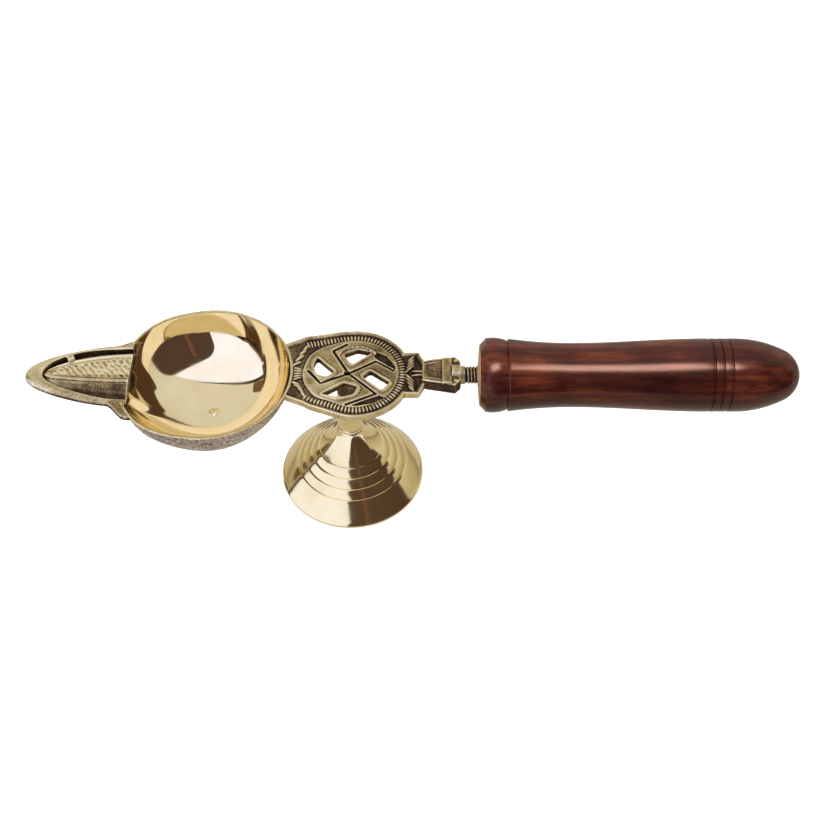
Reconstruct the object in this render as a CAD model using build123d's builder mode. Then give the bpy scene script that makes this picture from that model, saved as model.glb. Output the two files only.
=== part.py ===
from build123d import *
from math import cos, radians, sin, sqrt, tan
import os

# Aarti lamp: a cast brass oil bowl with a wick spout and a pierced medallion, a turned brass
# foot under the medallion and a turned wooden handle, joined by two threaded studs.
# Origin: centre of the foot's base on the table. +X points to the handle, +Z up. Millimetres.

# Heights
axis_height = 52.5           # axis of the handle and its stud above the table
deck_rise = 1.5              # rim of the bowl and top of the medallion above that axis

# Oil bowl
bowl_reach = 46.0            # from the foot's axis to the bowl's axis
bowl_radius = 28.2           # outside, at the rim
bowl_depth = 19.6            # inside, from rim to floor
bowl_rim_wall = 0.9
bowl_floor_wall = 3.2
bowl_mark_radius = 1.5       # centre mark left by the lathe
bowl_mark_depth = 0.8

# Wick spout
spout_length = 34.7          # from the bowl's rim circle to the tip
spout_width = 24.2           # where it springs from the bowl
spout_root = 4.0             # how far its outline runs on into the bowl
spout_lip = 2.2              # height of the upright part of the side walls
spout_wall = 2.1             # wall beside the trough
spout_nose = 5.9             # solid metal between the trough and the tip
spout_trough_depth = 3.0
spout_keel_drop = 5.0        # from the lip's lower edge to the keel
spout_keel_length = 25.0
spout_keel_width = 9.0
spout_keel_round = 1.6

# Pierced medallion
medallion_offset = 2.5       # from the foot's axis to the centre of its round end
medallion_radius = 18.6
medallion_back_offset = 10.0 # from that centre back to the centre of its narrower part
medallion_back_radius = 15.8
medallion_shoulder = 20.0    # width where it ends inside the bowl's wall
medallion_root = 4.0         # how far its outline runs on into the bowl
medallion_thickness = 2.8
plate_border = 1.7           # plain raised border of medallion and crown
field_depth = 0.25           # field below the border
bead_margin = 0.3            # field left between the border and the bead band
bead_band = 2.2              # width of the sunken band that carries the beads
bead_band_depth = 0.7
bead_band_end = 14.0         # how far it reaches from the foot's axis towards the bowl
piercing_round = 0.9
pilot_radius = 1.1           # drilled right through on the foot's axis

# Corners of the four piercings, measured from the foot's axis
piercings = (
    ((1.5, 3.7), (8.0, 8.7), (3.2, 9.9), (-1.3, 7.7)),
    ((5.3, -1.5), (7.4, 0.5), (13.8, -4.3), (11.4, -7.2)),
    ((-7.9, -9.0), (-0.8, -4.2), (3.6, -5.8), (2.4, -9.2), (-2.4, -10.6)),
    ((-10.0, 6.8), (-4.1, 0.6), (-6.8, -1.8), (-10.2, -0.6), (-11.2, 3.6)),
)

# Crown and tang
crown_width = 17.8
crown_length = 4.8
crown_slant = 2.3
tang_root_width = 8.2
tang_end_width = 13.0
tang_length = 11.4
tang_thickness = 4.8
tang_corner = 1.8
tang_band_inset = 3.6        # middle of the raised cross band from the tang's end
tang_band_width = 1.6
tang_band_rise = 0.5
socket_wall = 0.8            # metal round the stud where it swells out of the tang

# Handle stud
stud_radius = 3.0
stud_grip = 8.0              # length held in the tang
stud_gap = 5.5               # bare length between tang and handle
stud_seat = 26.0             # length held in the handle
stud_chamfer = 0.5
stud_end_room = 0.6          # left empty beyond each end
running_fit = 0.05           # between a stud and its hole, on the radius

# Wooden handle, from the stud to the tip
handle_end_radius = 10.2
handle_end_dome = 0.8
handle_chamfer = 1.8         # along the axis, from the end face to the bead
bead_radius = 12.4
bead_front = 2.4             # from the bead's crest forward to the chamfer
bead_back = 4.2              # from the bead's crest back to the groove
groove_width = 0.8
groove_depth = 0.7
flare_radius = 12.0          # grip beside the groove
waist_radius = 10.6
waist_length = 21.0          # from the groove to the waist
belly_radius = 12.1
swell_length = 45.0          # from the waist to the first ring
ring_count = 3
ring_pitch = 2.9
ring_width = 0.8
ring_depth = 0.5
belly_run = 3.0              # plain belly after the last ring
tip_radius = 9.3             # ball that ends the handle
tip_angle = 25.0             # slope in degrees where the shoulder meets that ball
flare_stations = 4           # straight cuts that make up each turned curve
swell_stations = 6
shoulder_stations = 4

# Foot
foot_radius = 25.0
foot_edge = 1.2              # upright edge that stands on the table
foot_wall = 1.7
step_count = 3
step_width = 0.4             # ledge at the top of each turned step
step_low_radius = 18.9
step_low_height = 8.0
step_high_radius = 10.9
step_high_height = 16.1
neck_radius = 3.7
neck_height = 32.0           # where the flare becomes a plain neck
boss_radius = 3.5
boss_length = 6.4            # under the medallion

# Foot stud
foot_stud_radius = 2.0
foot_stud_grip = 6.3         # length held in the boss
foot_stud_seat = 12.0        # length held in the foot
foot_stud_chamfer = 0.4

# Places worked out from the sizes above
deck_height = axis_height + deck_rise
bowl_x = -bowl_reach
bowl_axis = Axis((bowl_x, 0, 0), (0, 0, 1))
spout_x = bowl_x - sqrt(bowl_radius**2 - (spout_width / 2) ** 2) + spout_root
spout_reach = spout_length + spout_root
keel_reach = spout_keel_length + spout_root
shoulder_x = bowl_x + sqrt(bowl_radius**2 - (medallion_shoulder / 2) ** 2) - medallion_root
plate_bottom = deck_height - medallion_thickness
band_inset = plate_border + bead_margin
crown_x = medallion_offset + sqrt(medallion_radius**2 - (crown_width / 2) ** 2)
tang_x = crown_x + crown_length + crown_slant
tang_end_x = tang_x + tang_length
tang_bottom = axis_height - tang_thickness / 2
stud_x = tang_end_x - stud_grip
handle_x = tang_end_x + stud_gap
boss_bottom = plate_bottom - boss_length
stud_plane = Plane(origin=(stud_x, 0, axis_height), x_dir=(0, 1, 0), z_dir=(1, 0, 0))
handle_plane = Plane(origin=(handle_x, 0, axis_height), x_dir=(0, 1, 0), z_dir=(1, 0, 0))
handle_axis = Axis((handle_x, 0, axis_height), (1, 0, 0))
handle_profile_plane = Plane(origin=(handle_x, 0, axis_height), x_dir=(1, 0, 0), z_dir=(0, -1, 0))
bowl_profile_plane = Plane(origin=(bowl_x, 0, deck_height), x_dir=(1, 0, 0), z_dir=(0, -1, 0))

os.makedirs("parts", exist_ok=True)

# Egg-shaped medallion, with shoulders that run into the bowl
with BuildSketch() as medallion_outline:
    with BuildLine():
        Line((shoulder_x, -medallion_shoulder / 2), (shoulder_x, medallion_shoulder / 2))
    with Locations((medallion_offset, 0)):
        Circle(medallion_radius)
    with Locations((medallion_offset - medallion_back_offset, 0)):
        Circle(medallion_back_radius)
    make_hull()

# Whole plate: the medallion and its leaf crown
with BuildSketch() as plate_outline:
    add(medallion_outline.sketch)
    with BuildLine():
        Polyline(
            (medallion_offset, 0),
            (crown_x, crown_width / 2),
            (crown_x + crown_length, crown_width / 2),
            (tang_x, tang_root_width / 2),
            (tang_x, 0),
        )
        mirror(about=Plane.XZ)
    make_face()

# Cast body: spout, plate, tang and boss first, then the bowl that closes over their ends
with BuildPart() as casting:
    # Spout as a full form: upright lip and a rounded keel under it
    with BuildSketch(Plane.XY.offset(deck_height - spout_lip)):
        with Locations((spout_x, 0)):
            Ellipse(spout_reach, spout_width / 2)
    with BuildSketch(Plane.XY.offset(deck_height - spout_lip - spout_keel_drop)):
        with Locations((spout_x, 0)):
            Ellipse(keel_reach, spout_keel_width / 2)
    loft()
    fillet(casting.faces().sort_by(Axis.Z)[0].edges(), radius=spout_keel_round)
    with BuildSketch(Plane.XY.offset(deck_height - spout_lip)):
        with Locations((spout_x, 0)):
            Ellipse(spout_reach, spout_width / 2)
    extrude(amount=spout_lip)

    # Flat plate of medallion and crown
    with BuildSketch(Plane.XY.offset(plate_bottom)):
        add(plate_outline.sketch)
    extrude(amount=medallion_thickness)

    # Field inside the plain border, and the deeper band that carries the beads
    with BuildSketch(Plane.XY.offset(deck_height)):
        add(plate_outline.sketch)
        offset(amount=-plate_border, mode=Mode.REPLACE)
    extrude(amount=-field_depth, mode=Mode.SUBTRACT)
    with BuildSketch(Plane.XY.offset(deck_height)):
        offset(medallion_outline.sketch, amount=-band_inset)
        offset(medallion_outline.sketch, amount=-band_inset - bead_band, mode=Mode.SUBTRACT)
        with Locations((-bead_band_end, 0)):
            Rectangle(bowl_reach, 2 * medallion_radius, align=(Align.MAX, Align.CENTER), mode=Mode.SUBTRACT)
    extrude(amount=-bead_band_depth, mode=Mode.SUBTRACT)

    # Tang with its raised cross band and the swell round the stud
    with BuildSketch(Plane.XY.offset(tang_bottom)) as tang_outline:
        with BuildLine():
            Polyline(
                (tang_x - crown_slant / 2, 0),
                (tang_x - crown_slant / 2, tang_root_width / 2),
                (tang_end_x, tang_end_width / 2),
                (tang_end_x, 0),
            )
            mirror(about=Plane.XZ)
        make_face()
        chamfer(tang_outline.vertices().group_by(Axis.X)[-1], length=tang_corner)
    extrude(amount=tang_thickness)
    with BuildSketch(Plane.XY.offset(tang_bottom + tang_thickness)):
        with Locations((tang_end_x - tang_band_inset, 0)):
            Rectangle(tang_band_width, tang_root_width)
    extrude(amount=tang_band_rise)
    with BuildSketch(stud_plane.offset(-stud_end_room - socket_wall)):
        Circle(stud_radius + socket_wall)
    extrude(amount=socket_wall + stud_end_room + stud_grip)

    # Boss that takes the foot's stud
    with BuildSketch(Plane.XY.offset(boss_bottom)):
        Circle(boss_radius)
    extrude(amount=boss_length + medallion_thickness / 2)

    # Bowl as a full form
    with BuildSketch(bowl_profile_plane):
        with BuildLine():
            outside = TangentArc((0, -bowl_depth - bowl_floor_wall), (bowl_radius, 0), tangent=(1, 0))
            Polyline(outside @ 1, (0, 0), outside @ 0)
        make_face()
    revolve(axis=bowl_axis)

    # Turned inside of the bowl, its centre mark, and the trough that opens into it
    with BuildSketch(bowl_profile_plane):
        with BuildLine():
            inside = TangentArc((0, -bowl_depth), (bowl_radius - bowl_rim_wall, 0), tangent=(1, 0))
            Polyline(inside @ 1, (0, 0), inside @ 0)
        make_face()
    revolve(axis=bowl_axis, mode=Mode.SUBTRACT)
    with BuildSketch(Plane.XY.offset(deck_height)):
        with Locations((spout_x, 0)):
            Ellipse(spout_reach - spout_nose, spout_width / 2 - spout_wall)
    extrude(amount=-spout_trough_depth, mode=Mode.SUBTRACT)
    with BuildSketch(Plane.XY.offset(deck_height - bowl_depth - bowl_mark_depth)):
        with Locations((bowl_x, 0)):
            Circle(bowl_mark_radius)
    extrude(amount=bowl_depth, mode=Mode.SUBTRACT)

    # Four piercings round the sign, and the pilot hole at its centre
    for corners in piercings:
        with BuildSketch(Plane.XY.offset(plate_bottom)) as piercing:
            with BuildLine():
                Polyline(*corners, close=True)
            make_face()
            fillet(piercing.vertices(), radius=piercing_round)
        extrude(amount=medallion_thickness, mode=Mode.SUBTRACT)
    with BuildSketch(Plane.XY.offset(boss_bottom)):
        Circle(pilot_radius)
    extrude(amount=boss_length + medallion_thickness, mode=Mode.SUBTRACT)

    # Tapped holes for the two studs
    with BuildSketch(Plane.XY.offset(boss_bottom)):
        Circle(foot_stud_radius + running_fit)
    extrude(amount=foot_stud_grip + stud_end_room, mode=Mode.SUBTRACT)
    with BuildSketch(stud_plane.offset(-stud_end_room)):
        Circle(stud_radius + running_fit)
    extrude(amount=stud_end_room + stud_grip, mode=Mode.SUBTRACT)
casting.part.label = "lamp_casting"
export_step(casting.part, "parts/lamp_casting.step")

# Stud between tang and handle
with BuildPart() as handle_stud:
    with BuildSketch(stud_plane):
        Circle(stud_radius)
    extrude(amount=stud_grip + stud_gap + stud_seat)
    chamfer(handle_stud.edges().filter_by(GeomType.CIRCLE), length=stud_chamfer)
handle_stud.part.label = "handle_stud"
export_step(handle_stud.part, "parts/handle_stud.step")

# Turned handle: outline from the bead to the tip, as points along the axis and radii
bead_x = handle_end_dome + handle_chamfer + bead_front
groove_x = bead_x + bead_back
grip_x = groove_x + groove_width
waist_x = grip_x + waist_length
ring_x = waist_x + swell_length
shoulder_start = ring_x + (ring_count - 1) * ring_pitch + belly_run
tip_ring_radius = tip_radius * cos(radians(tip_angle))
shoulder_drop = belly_radius - tip_ring_radius
shoulder_length = 2 * shoulder_drop / tan(radians(tip_angle))
tip_x = shoulder_start + shoulder_length + tip_radius * (1 - sin(radians(tip_angle)))
bead_front_point = (bead_x - bead_front, sqrt(bead_radius**2 - bead_front**2))
bead_back_point = (groove_x, sqrt(bead_radius**2 - bead_back**2))

# Groove behind the bead, hollow grip, swell to the belly, three rings and the shoulder
turning = [
    bead_back_point,
    (groove_x + groove_width / 2, flare_radius - groove_depth),
    (grip_x, flare_radius),
]
for station in range(1, flare_stations + 1):
    left = 1 - station / flare_stations
    radius = waist_radius + (flare_radius - waist_radius) * left**2
    turning.append((grip_x + waist_length * (1 - left), radius))
for station in range(1, swell_stations + 1):
    along = station / swell_stations
    radius = waist_radius + (belly_radius - waist_radius) * along**2 * (3 - 2 * along)
    turning.append((waist_x + (swell_length - ring_width / 2) * along, radius))
for ring in range(ring_count):
    middle = ring_x + ring * ring_pitch
    turning.append((middle, belly_radius - ring_depth))
    turning.append((middle + ring_width / 2, belly_radius))
    if ring < ring_count - 1:
        turning.append((middle + ring_pitch - ring_width / 2, belly_radius))
for station in range(shoulder_stations + 1):
    along = station / shoulder_stations
    turning.append((shoulder_start + shoulder_length * along, belly_radius - shoulder_drop * along**2))

with BuildPart() as handle:
    with BuildSketch(handle_profile_plane):
        with BuildLine():
            end = TangentArc((0, 0), (handle_end_dome, handle_end_radius), tangent=(0, 1))
            Line(end @ 1, bead_front_point)
            ThreePointArc(bead_front_point, (bead_x, bead_radius), bead_back_point)
            Polyline(*turning)
            TangentArc(turning[-1], (tip_x, 0), tangent=(1, -tan(radians(tip_angle))))
            Line((tip_x, 0), (0, 0))
        make_face()
    revolve(axis=handle_axis)
    with BuildSketch(handle_plane):
        Circle(stud_radius + running_fit)
    extrude(amount=stud_seat + stud_end_room, mode=Mode.SUBTRACT)
handle.part.label = "handle"
export_step(handle.part, "parts/handle.step")

# Stud between the boss and the foot
with BuildPart() as foot_stud:
    with BuildSketch(Plane.XY.offset(boss_bottom - foot_stud_seat)):
        Circle(foot_stud_radius)
    extrude(amount=foot_stud_seat + foot_stud_grip)
    chamfer(foot_stud.edges().filter_by(GeomType.CIRCLE), length=foot_stud_chamfer)
foot_stud.part.label = "foot_stud"
export_step(foot_stud.part, "parts/foot_stud.step")

# Turned foot: hollow stepped cone that flares out of a slim neck
step_run = (step_low_radius - step_high_radius) / step_count
step_rise = (step_high_height - step_low_height) / step_count
with BuildPart() as foot:
    with BuildSketch(Plane.XZ):
        with BuildLine():
            steps = [(foot_radius, 0), (foot_radius, foot_edge)]
            for step in range(step_count + 1):
                ledge_radius = step_low_radius - step * step_run
                ledge_height = step_low_height + step * step_rise
                steps.append((ledge_radius + step_width, ledge_height))
                steps.append((ledge_radius, ledge_height))
            Polyline(*steps)
            flare = TangentArc((neck_radius, neck_height), steps[-1], tangent=(0, -1))
            Polyline(flare @ 0, (neck_radius, boss_bottom), (0, boss_bottom), (0, 0), (foot_radius, 0))
        make_face()
    revolve(axis=Axis.Z)

    # Hollow underside, one wall inside the cone
    with BuildSketch(Plane.XZ):
        with BuildLine():
            Polyline(
                (0, 0),
                (foot_radius - foot_wall, 0),
                (step_low_radius - foot_wall, step_low_height - foot_wall),
                (step_high_radius - foot_wall, step_high_height - foot_wall),
                (0, step_high_height - foot_wall),
                close=True,
            )
        make_face()
    revolve(axis=Axis.Z, mode=Mode.SUBTRACT)

    with BuildSketch(Plane.XY.offset(boss_bottom)):
        Circle(foot_stud_radius + running_fit)
    extrude(amount=-foot_stud_seat - stud_end_room, mode=Mode.SUBTRACT)
foot.part.label = "foot"
export_step(foot.part, "parts/foot.step")
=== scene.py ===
import bpy
import bmesh
from math import acos, asin, atan2, cos, degrees, hypot, pi, radians, sin, sqrt, tan
from mathutils import Matrix, Vector, noise


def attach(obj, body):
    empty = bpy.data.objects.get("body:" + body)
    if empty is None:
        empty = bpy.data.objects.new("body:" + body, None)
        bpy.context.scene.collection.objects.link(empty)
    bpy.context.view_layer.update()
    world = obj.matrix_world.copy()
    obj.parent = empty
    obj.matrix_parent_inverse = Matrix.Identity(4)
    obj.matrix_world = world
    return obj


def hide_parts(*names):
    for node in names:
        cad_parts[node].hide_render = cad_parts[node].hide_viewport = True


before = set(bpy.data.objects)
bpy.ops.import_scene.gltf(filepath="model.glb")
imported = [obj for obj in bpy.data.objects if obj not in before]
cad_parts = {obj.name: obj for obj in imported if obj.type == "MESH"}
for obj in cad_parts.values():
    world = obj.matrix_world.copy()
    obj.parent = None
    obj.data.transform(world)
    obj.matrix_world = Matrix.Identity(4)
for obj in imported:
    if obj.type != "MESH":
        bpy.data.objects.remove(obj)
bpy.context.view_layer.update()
scene = bpy.context.scene
mm = 0.001

# lamp: places that several pieces share, in mm, foot's base at the origin, handle along +X
lamp = {
    "deck": 54.0,            # rim of the bowl and top of the medallion
    "axis": 52.5,            # axis of stud and handle
    "bowlX": -46.0,
    "bowlRadius": 28.2,
    "bowlDepth": 20.6,
    "rimWall": 0.9,
    "floorWall": 2.2,
    "plateBottom": 51.2,
    "bossBottom": 44.8,
    "footBore": 2.05,        # hole for the foot's stud, in the boss and in the neck
    "crownX": 18.83,
    "tangX": 25.93,
    "tangEnd": 37.33,
    "handleX": 42.83,
    "handleBore": 3.05,      # hole for the handle's stud, in the tang and in the handle
}
deck = lamp["deck"]
alongX = Matrix.Rotation(pi / 2, 4, "Y")


# modelling helpers
def ramp(value, low, high):
    # smooth step from 0 at low to 1 at high, either way round
    t = min(max((value - low) / (high - low), 0), 1)
    return t * t * (3 - 2 * t)


def at(x, y, z):
    return Matrix.Translation(Vector((x, y, z)) * mm)


def edgesOf(verts):
    return list({edge for vert in verts for edge in vert.link_edges})


def pick(items, kind):
    return [item for item in items if isinstance(item, kind)]


def pen(bm, strokes, upright=True):
    # draws a line of edges: (a, b) is its next point, ("arc", centre a, centre b, degrees, steps) swings on
    def place(a, b):
        return Vector((a, 0, b)) * mm if upright else Vector((a, b, 0)) * mm

    turnAxis = (0, -1, 0) if upright else (0, 0, 1)
    made = [bm.verts.new(place(*strokes[0]))]
    for stroke in strokes[1:]:
        isArc = stroke[0] == "arc"
        for step in range(stroke[4] if isArc else 1):
            made += bmesh.ops.extrude_vert_indiv(bm, verts=made[-1:])["verts"]
            if isArc:
                swing = Matrix.Rotation(radians(stroke[3]) / stroke[4], 3, turnAxis)
                bmesh.ops.rotate(bm, verts=made[-1:], cent=place(*stroke[1:3]), matrix=swing)
            else:
                made[-1].co = place(*stroke)
    return made


def turn(bm, strokes, steps, place=Matrix.Identity(4)):
    # spins a pen line about the upright axis and moves the closed shape to its place
    line = pen(bm, strokes)
    bmesh.ops.spin(
        bm, geom=line + edgesOf(line), cent=(0, 0, 0), axis=(0, 0, 1), angle=2 * pi, steps=steps,
        use_merge=True)
    shape = [vert for vert in bm.verts if not vert.tag]
    bmesh.ops.remove_doubles(bm, verts=shape, dist=0.002 * mm)
    shape = [vert for vert in bm.verts if not vert.tag]
    bmesh.ops.recalc_face_normals(bm, faces=list({face for vert in shape for face in vert.link_faces}))
    bmesh.ops.transform(bm, matrix=place, verts=shape)
    for vert in shape:
        vert.tag = True


def fillOutline(bm, verts, low, high):
    # closes a flat outline with a face and pulls it up into a block
    face = bmesh.ops.contextual_create(bm, geom=edgesOf(verts))["faces"][0]
    bmesh.ops.translate(bm, verts=face.verts[:], vec=(0, 0, low * mm))
    top = bmesh.ops.extrude_face_region(bm, geom=[face])["geom"]
    topVerts = pick(top, bmesh.types.BMVert)
    bmesh.ops.translate(bm, verts=topVerts, vec=(0, 0, (high - low) * mm))
    around = {f for vert in topVerts for f in vert.link_faces} | {face}
    bmesh.ops.recalc_face_normals(bm, faces=list(around))
    return pick(top, bmesh.types.BMFace)[0]


def roundOff(bm, geom, size, segments, affect="EDGES"):
    return bmesh.ops.bevel(
        bm, geom=geom, offset=size, segments=segments, profile=0.5, affect=affect, material=-1)["verts"]


def ellipsoid(bm, centre, size, yaw):
    # small rounded lump, the seed of beads and leaves
    place = at(*centre) @ Matrix.Rotation(yaw, 4, "Z")
    stretch = Matrix.Diagonal((*(Vector(size) * mm), 1))
    bmesh.ops.create_icosphere(bm, subdivisions=2, radius=0.5, matrix=place @ stretch)


def block(bm, centre, size, yaw=0):
    place = at(*centre) @ Matrix.Rotation(yaw, 4, "Z")
    bmesh.ops.create_cube(bm, size=1, matrix=place @ Matrix.Diagonal((*(Vector(size) * mm), 1)))


def rod(bm, centre, radius, length, lean=Matrix.Identity(4)):
    bmesh.ops.create_cone(
        bm, cap_ends=True, segments=48, radius1=radius * mm, radius2=radius * mm, depth=length * mm,
        matrix=at(*centre) @ lean)


def toObject(name, bm):
    mesh = bpy.data.meshes.new(name)
    bm.to_mesh(mesh)
    bm.free()
    piece = bpy.data.objects.new(name, mesh)
    scene.collection.objects.link(piece)
    return piece


def openMesh(piece):
    bm = bmesh.new()
    bm.from_mesh(piece.data)
    return bm


def closeMesh(piece, bm):
    bm.to_mesh(piece.data)
    bm.free()


def discard(piece):
    mesh = piece.data
    bpy.data.objects.remove(piece)
    bpy.data.meshes.remove(mesh)


def applyModifiers(piece):
    graph = bpy.context.evaluated_depsgraph_get()
    mesh = bpy.data.meshes.new_from_object(piece.evaluated_get(graph))
    old = piece.data
    piece.modifiers.clear()
    piece.data = mesh
    bpy.data.meshes.remove(old)
    mesh.name = piece.name


def cut(piece, bm, operation="DIFFERENCE", crossing=False):
    # one boolean with the shapes in bm, applied at once; crossing where those shapes run into each other
    tool = toObject("cutter", bm)
    step = piece.modifiers.new("cut", "BOOLEAN")
    step.operation = operation
    step.solver = "EXACT"
    step.use_self = crossing
    step.object = tool
    applyModifiers(piece)
    discard(tool)


def castSkin(piece, voxel):
    # melts joined blocks into one soft skin, as a casting leaves the mould
    step = piece.modifiers.new("skin", "REMESH")
    step.mode = "VOXEL"
    step.voxel_size = voxel * mm
    applyModifiers(piece)


def relax(bm):
    bmesh.ops.smooth_vert(
        bm, verts=bm.verts[:], factor=0.5, use_axis_x=True, use_axis_y=True, use_axis_z=True)


def roughen(piece, grain, depth, keep=None):
    # small uneven swell of a sand-cast surface
    bm = openMesh(piece)
    bm.normal_update()
    for vert in bm.verts:
        if keep and keep(vert.co / mm):
            continue
        swell = noise.noise(vert.co / (grain * mm)) + 0.5 * noise.noise(vert.co / (0.45 * grain * mm))
        vert.co += vert.normal * swell * depth * mm
    closeMesh(piece, bm)


def recordWearAndPaintedLight(piece, rounds, gain, grimeAndPaintedLight=None):
    # point attribute: 0 in hollows, 0.5 on flats, 1 on edges that hands and cloth reach; the darkening
    # function gives the share of old grime and painted shade at a point, below 0 where it is rubbed bright or
    # carries a painted highlight
    bm = openMesh(piece)
    bm.normal_update()
    start = [vert.co.copy() for vert in bm.verts]
    normals = [vert.normal.copy() for vert in bm.verts]
    for number in range(rounds):
        relax(bm)
    wear = [0.5 + gain * (a - vert.co).dot(n) / mm for a, vert, n in zip(start, bm.verts, normals)]
    if grimeAndPaintedLight:
        wear = [w - grimeAndPaintedLight(a / mm, n) for w, a, n in zip(wear, start, normals)]
    bm.free()
    layer = piece.data.attributes.new("wear", "FLOAT", "POINT")
    layer.data.foreach_set("value", [min(max(value, 0), 1) for value in wear])


def shadeSmooth(piece, angle):
    piece.data.polygons.foreach_set("use_smooth", [True] * len(piece.data.polygons))
    piece.data.set_sharp_from_angle(angle=radians(angle))


def finishPiece(piece, body, node, slotName, *materials):
    for material in materials:
        piece.data.materials.append(material)
    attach(piece, body)
    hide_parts(node)
    print("made", piece.name, len(piece.data.polygons), "faces")


def finishCasting(piece, grimeAndPaintedLight):
    # takes the edge off, adds the sand grain and records the wear with its painted shade and painted
    # highlights
    bm = openMesh(piece)
    relax(bm)
    closeMesh(piece, bm)
    roughen(piece, 0.8, 0.03)
    recordWearAndPaintedLight(piece, 16, 3.2, grimeAndPaintedLight)
    shadeSmooth(piece, 80)
    finishPiece(piece, "lamp", "lamp_casting", "cast_brass", patina)


# material helpers
def linear(code):
    parts = [int(code[i:i + 2], 16) / 255 for i in (1, 3, 5)]
    return [p / 12.92 if p <= 0.04045 else ((p + 0.055) / 1.055) ** 2.4 for p in parts] + [1]


def setInputs(tree, node, inputs):
    # another node's output is linked, a plain value is set on the input itself
    for name, value in inputs.items():
        if isinstance(value, bpy.types.NodeSocket):
            tree.links.new(value, node.inputs[name])
        else:
            node.inputs[name].default_value = value


def addNode(tree, kind, inputs=None, out=0, stops=(), **settings):
    # adds a node and gives back the output that is used
    node = tree.nodes.new("ShaderNode" + kind)
    for name, value in settings.items():
        setattr(node, name, value)
    setInputs(tree, node, inputs or {})
    for number, (place, code) in enumerate(stops):
        elements = node.color_ramp.elements
        stop = elements[number] if number < 2 else elements.new(place)
        stop.position = place
        stop.color = linear(code)
    return node.outputs[out]


def newMaterial(name):
    material = bpy.data.materials.new(name)
    material.use_nodes = True
    tree = material.node_tree
    return material, tree, tree.nodes["Principled BSDF"]


# turned and buffed brass: clear mirror with faint lathe rings and the odd dull smear
def buffedBrass(name, axisX, colour, worn, dullness):
    smearMm, ringMm = 9, 0.35
    material, tree, shader = newMaterial(name)
    place = addNode(tree, "TexCoord", out="Object")
    moved = addNode(tree, "Mapping", {"Vector": place, "Location": (-axisX * mm, 0, 0)})
    smear = addNode(tree, "TexNoise", {"Vector": moved, "Scale": 1 / (smearMm * mm), "Detail": 4})
    rings = addNode(
        tree, "TexWave", {"Vector": moved, "Scale": 2 * pi / (20 * ringMm * mm), "Distortion": 0.4}, out=1,
        wave_type="RINGS", rings_direction="Z")
    setInputs(tree, shader, {
        "Metallic": 1,
        "Base Color": addNode(tree, "ValToRGB", {"Fac": smear}, stops=((0.3, colour), (0.85, worn))),
        "Roughness": addNode(
            tree, "MapRange", {"Value": smear, 1: 0.4, 2: 0.75, 3: dullness, 4: dullness + 0.07}),
        "Normal": addNode(tree, "Bump", {"Strength": 0.03, "Distance": 0.02 * mm, "Height": rings}),
    })
    return material


# sand-cast brass with old patina: dark brown hollows, rubbed pale edges, grainy skin; the point attribute it
# reads also carries painted shade and painted highlights
def castBrass(name, hollow, shade, ground, rubbed):
    blotchMm, grainMm = 4, 0.5
    material, tree, shader = newMaterial(name)
    place = addNode(tree, "TexCoord", out="Object")
    wear = addNode(tree, "Attribute", out="Fac", attribute_name="wear")
    blotch = addNode(tree, "TexNoise", {"Vector": place, "Scale": 1 / (blotchMm * mm), "Detail": 5})
    grain = addNode(tree, "TexNoise", {"Vector": place, "Scale": 1 / (grainMm * mm), "Detail": 3})
    shift = addNode(tree, "MapRange", {"Value": blotch, 1: 0.25, 2: 0.75, 3: -0.14, 4: 0.14})
    fine = addNode(tree, "MapRange", {"Value": grain, 1: 0.25, 2: 0.75, 3: -0.1, 4: 0.1})
    uneven = addNode(tree, "Math", {0: shift, 1: fine}, operation="ADD")
    mask = addNode(tree, "Math", {0: wear, 1: uneven}, operation="ADD")
    stops = ((0.02, hollow), (0.92, rubbed), (0.26, shade), (0.5, ground))
    setInputs(tree, shader, {
        "Metallic": 1,
        "Base Color": addNode(tree, "ValToRGB", {"Fac": mask}, stops=stops),
        "Roughness": addNode(tree, "MapRange", {"Value": mask, 1: 0.1, 2: 0.85, 3: 0.55, 4: 0.28}),
        "Normal": addNode(tree, "Bump", {"Strength": 0.25, "Distance": 0.08 * mm, "Height": grain}),
    })
    return material


# brass rod as threaded: brown tarnish between bright crests
def rodBrass(name):
    blotchMm = 0.8
    material, tree, shader = newMaterial(name)
    place = addNode(tree, "TexCoord", out="Object")
    wear = addNode(tree, "Attribute", out="Fac", attribute_name="wear")
    blotch = addNode(tree, "TexNoise", {"Vector": place, "Scale": 1 / (blotchMm * mm), "Detail": 4})
    shift = addNode(tree, "MapRange", {"Value": blotch, 1: 0.25, 2: 0.75, 3: -0.2, 4: 0.2})
    mask = addNode(tree, "Math", {0: wear, 1: shift}, operation="ADD")
    stops = ((0.2, "#1c130d"), (0.9, "#d2b98c"), (0.5, "#5e4a30"))
    setInputs(tree, shader, {
        "Metallic": 1, "Roughness": 0.45,
        "Base Color": addNode(tree, "ValToRGB", {"Fac": mask}, stops=stops),
    })
    return material


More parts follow.
